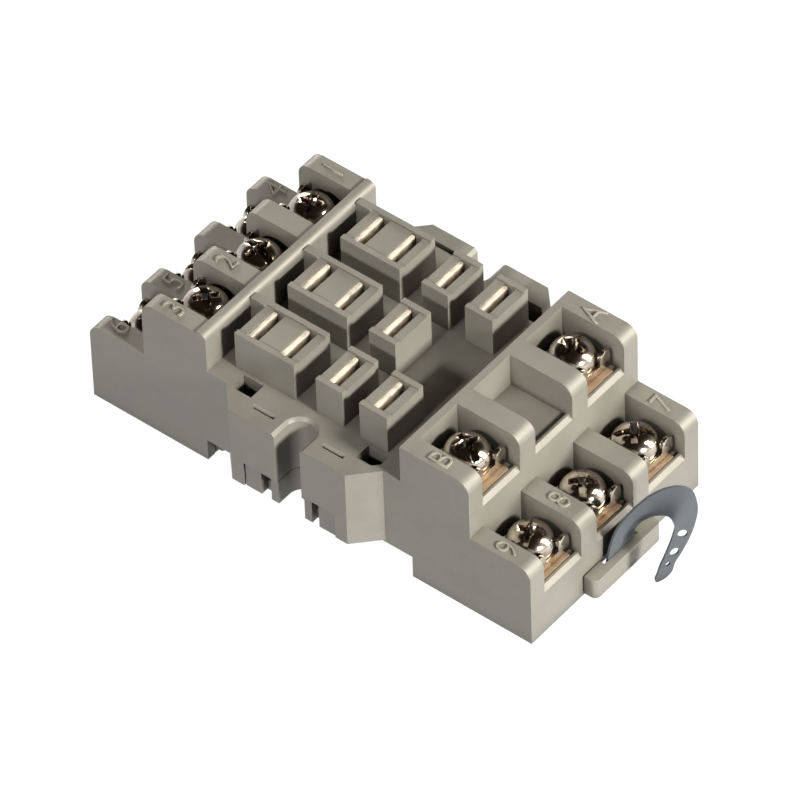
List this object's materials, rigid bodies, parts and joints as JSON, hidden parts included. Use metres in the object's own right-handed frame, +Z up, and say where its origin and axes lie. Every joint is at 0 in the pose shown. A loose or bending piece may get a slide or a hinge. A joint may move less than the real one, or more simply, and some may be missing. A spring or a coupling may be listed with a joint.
{
  "type": "relay socket",
  "caption": "Stepped moulded socket for a plug-in relay: blade slots on a deck, screw terminals at both ends, rail latch and panel notches.",
  "frame": {"origin": "middle of the rail seat, the flat underside between the two feet", "axes": "+X along the socket towards the rail latch, +Y across it, +Z up to the relay"},
  "size_m": [0.0927, 0.0462, 0.0257],
  "materials": {
    "moulded_housing": "satin moulded thermoplastic",
    "moulded_base": "satin moulded thermoplastic",
    "moulded_latch": "satin moulded thermoplastic",
    "spring_steel": "bright spring strip",
    "grey_strap": "matt dark grey",
    "plated_screw": "nickel plated",
    "plated_clamp": "nickel plated",
    "tinned_strip": "tin plated brass"
  },
  "bodies": {
    "socket": {"housing": "moulded_housing", "base_plate": "moulded_base", "latch_spring": "spring_steel", "contact_strip_1": "tinned_strip", "contact_strip_2": "tinned_strip", "contact_strip_3": "tinned_strip", "contact_strip_4": "tinned_strip", "contact_strip_5": "tinned_strip", "contact_strip_6": "tinned_strip", "contact_strip_7": "tinned_strip", "contact_strip_8": "tinned_strip", "contact_strip_9": "tinned_strip", "contact_strip_a": "tinned_strip", "contact_strip_b": "tinned_strip"},
    "latch": {"rail_latch": "moulded_latch", "hold_down_strap": "grey_strap"},
    "clamp_1": {"clamp_plate_1": "plated_clamp"},
    "terminal_screw_1": {"screw_1": "plated_screw"},
    "clamp_2": {"clamp_plate_2": "plated_clamp"},
    "terminal_screw_2": {"screw_2": "plated_screw"},
    "clamp_3": {"clamp_plate_3": "plated_clamp"},
    "terminal_screw_3": {"screw_3": "plated_screw"},
    "clamp_4": {"clamp_plate_4": "plated_clamp"},
    "terminal_screw_4": {"screw_4": "plated_screw"},
    "clamp_5": {"clamp_plate_5": "plated_clamp"},
    "terminal_screw_5": {"screw_5": "plated_screw"},
    "clamp_6": {"clamp_plate_6": "plated_clamp"},
    "terminal_screw_6": {"screw_6": "plated_screw"},
    "clamp_7": {"clamp_plate_7": "plated_clamp"},
    "terminal_screw_7": {"screw_7": "plated_screw"},
    "clamp_8": {"clamp_plate_8": "plated_clamp"},
    "terminal_screw_8": {"screw_8": "plated_screw"},
    "clamp_9": {"clamp_plate_9": "plated_clamp"},
    "terminal_screw_9": {"screw_9": "plated_screw"},
    "clamp_a": {"clamp_plate_a": "plated_clamp"},
    "terminal_screw_a": {"screw_a": "plated_screw"},
    "clamp_b": {"clamp_plate_b": "plated_clamp"},
    "terminal_screw_b": {"screw_b": "plated_screw"}
  },
  "joints": [
    {"name": "latch_slide", "type": "slide", "parent": "socket", "child": "latch", "axis": [1, 0, 0], "range_m": [0, 0.0026], "stiffness_N_per_m": 300, "springref_m": -0.004, "deforming": ["latch_spring"]},
    {"name": "terminal_1_lift", "type": "slide", "parent": "socket", "child": "clamp_1", "axis": [0, 0, 1], "range_m": [0, 0.0018]},
    {"name": "terminal_1_turn", "type": "hinge", "parent": "clamp_1", "child": "terminal_screw_1", "pos_m": [-0.024, 0.0119, 0.02], "axis": [0, 0, 1], "range_deg": [0, 1081]},
    {"name": "terminal_2_lift", "type": "slide", "parent": "socket", "child": "clamp_2", "axis": [0, 0, 1], "range_m": [0, 0.0018]},
    {"name": "terminal_2_turn", "type": "hinge", "parent": "clamp_2", "child": "terminal_screw_2", "pos_m": [-0.024, 0, 0.02], "axis": [0, 0, 1], "range_deg": [0, 1081]},
    {"name": "terminal_3_lift", "type": "slide", "parent": "socket", "child": "clamp_3", "axis": [0, 0, 1], "range_m": [0, 0.0018]},
    {"name": "terminal_3_turn", "type": "hinge", "parent": "clamp_3", "child": "terminal_screw_3", "pos_m": [-0.024, -0.0119, 0.02], "axis": [0, 0, 1], "range_deg": [0, 1081]},
    {"name": "terminal_4_lift", "type": "slide", "parent": "socket", "child": "clamp_4", "axis": [0, 0, 1], "range_m": [0, 0.0018]},
    {"name": "terminal_4_turn", "type": "hinge", "parent": "clamp_4", "child": "terminal_screw_4", "pos_m": [-0.0344, 0.0119, 0.01], "axis": [0, 0, 1], "range_deg": [0, 1081]},
    {"name": "terminal_5_lift", "type": "slide", "parent": "socket", "child": "clamp_5", "axis": [0, 0, 1], "range_m": [0, 0.0018]},
    {"name": "terminal_5_turn", "type": "hinge", "parent": "clamp_5", "child": "terminal_screw_5", "pos_m": [-0.0344, 0, 0.01], "axis": [0, 0, 1], "range_deg": [0, 1081]},
    {"name": "terminal_6_lift", "type": "slide", "parent": "socket", "child": "clamp_6", "axis": [0, 0, 1], "range_m": [0, 0.0018]},
    {"name": "terminal_6_turn", "type": "hinge", "parent": "clamp_6", "child": "terminal_screw_6", "pos_m": [-0.0344, -0.0119, 0.01], "axis": [0, 0, 1], "range_deg": [0, 1081]},
    {"name": "terminal_7_lift", "type": "slide", "parent": "socket", "child": "clamp_7", "axis": [0, 0, 1], "range_m": [0, 0.0018]},
    {"name": "terminal_7_turn", "type": "hinge", "parent": "clamp_7", "child": "terminal_screw_7", "pos_m": [0.0342, 0.0119, 0.01], "axis": [0, 0, 1], "range_deg": [0, 1081]},
    {"name": "terminal_8_lift", "type": "slide", "parent": "socket", "child": "clamp_8", "axis": [0, 0, 1], "range_m": [0, 0.0018]},
    {"name": "terminal_8_turn", "type": "hinge", "parent": "clamp_8", "child": "terminal_screw_8", "pos_m": [0.0342, 0, 0.01], "axis": [0, 0, 1], "range_deg": [0, 1081]},
    {"name": "terminal_9_lift", "type": "slide", "parent": "socket", "child": "clamp_9", "axis": [0, 0, 1], "range_m": [0, 0.0018]},
    {"name": "terminal_9_turn", "type": "hinge", "parent": "clamp_9", "child": "terminal_screw_9", "pos_m": [0.0342, -0.0119, 0.01], "axis": [0, 0, 1], "range_deg": [0, 1081]},
    {"name": "terminal_a_lift", "type": "slide", "parent": "socket", "child": "clamp_a", "axis": [0, 0, 1], "range_m": [0, 0.0018]},
    {"name": "terminal_a_turn", "type": "hinge", "parent": "clamp_a", "child": "terminal_screw_a", "pos_m": [0.0232, 0.0119, 0.02], "axis": [0, 0, 1], "range_deg": [0, 1081]},
    {"name": "terminal_b_lift", "type": "slide", "parent": "socket", "child": "clamp_b", "axis": [0, 0, 1], "range_m": [0, 0.0018]},
    {"name": "terminal_b_turn", "type": "hinge", "parent": "clamp_b", "child": "terminal_screw_b", "pos_m": [0.0232, -0.0119, 0.02], "axis": [0, 0, 1], "range_deg": [0, 1081]}
  ],
  "couplings": [
    {"joint": "terminal_1_turn", "follows": "terminal_1_lift", "rad_per_m": 10472},
    {"joint": "terminal_2_turn", "follows": "terminal_2_lift", "rad_per_m": 10472},
    {"joint": "terminal_3_turn", "follows": "terminal_3_lift", "rad_per_m": 10472},
    {"joint": "terminal_4_turn", "follows": "terminal_4_lift", "rad_per_m": 10472},
    {"joint": "terminal_5_turn", "follows": "terminal_5_lift", "rad_per_m": 10472},
    {"joint": "terminal_6_turn", "follows": "terminal_6_lift", "rad_per_m": 10472},
    {"joint": "terminal_7_turn", "follows": "terminal_7_lift", "rad_per_m": 10472},
    {"joint": "terminal_8_turn", "follows": "terminal_8_lift", "rad_per_m": 10472},
    {"joint": "terminal_9_turn", "follows": "terminal_9_lift", "rad_per_m": 10472},
    {"joint": "terminal_a_turn", "follows": "terminal_a_lift", "rad_per_m": 10472},
    {"joint": "terminal_b_turn", "follows": "terminal_b_lift", "rad_per_m": 10472}
  ]
}
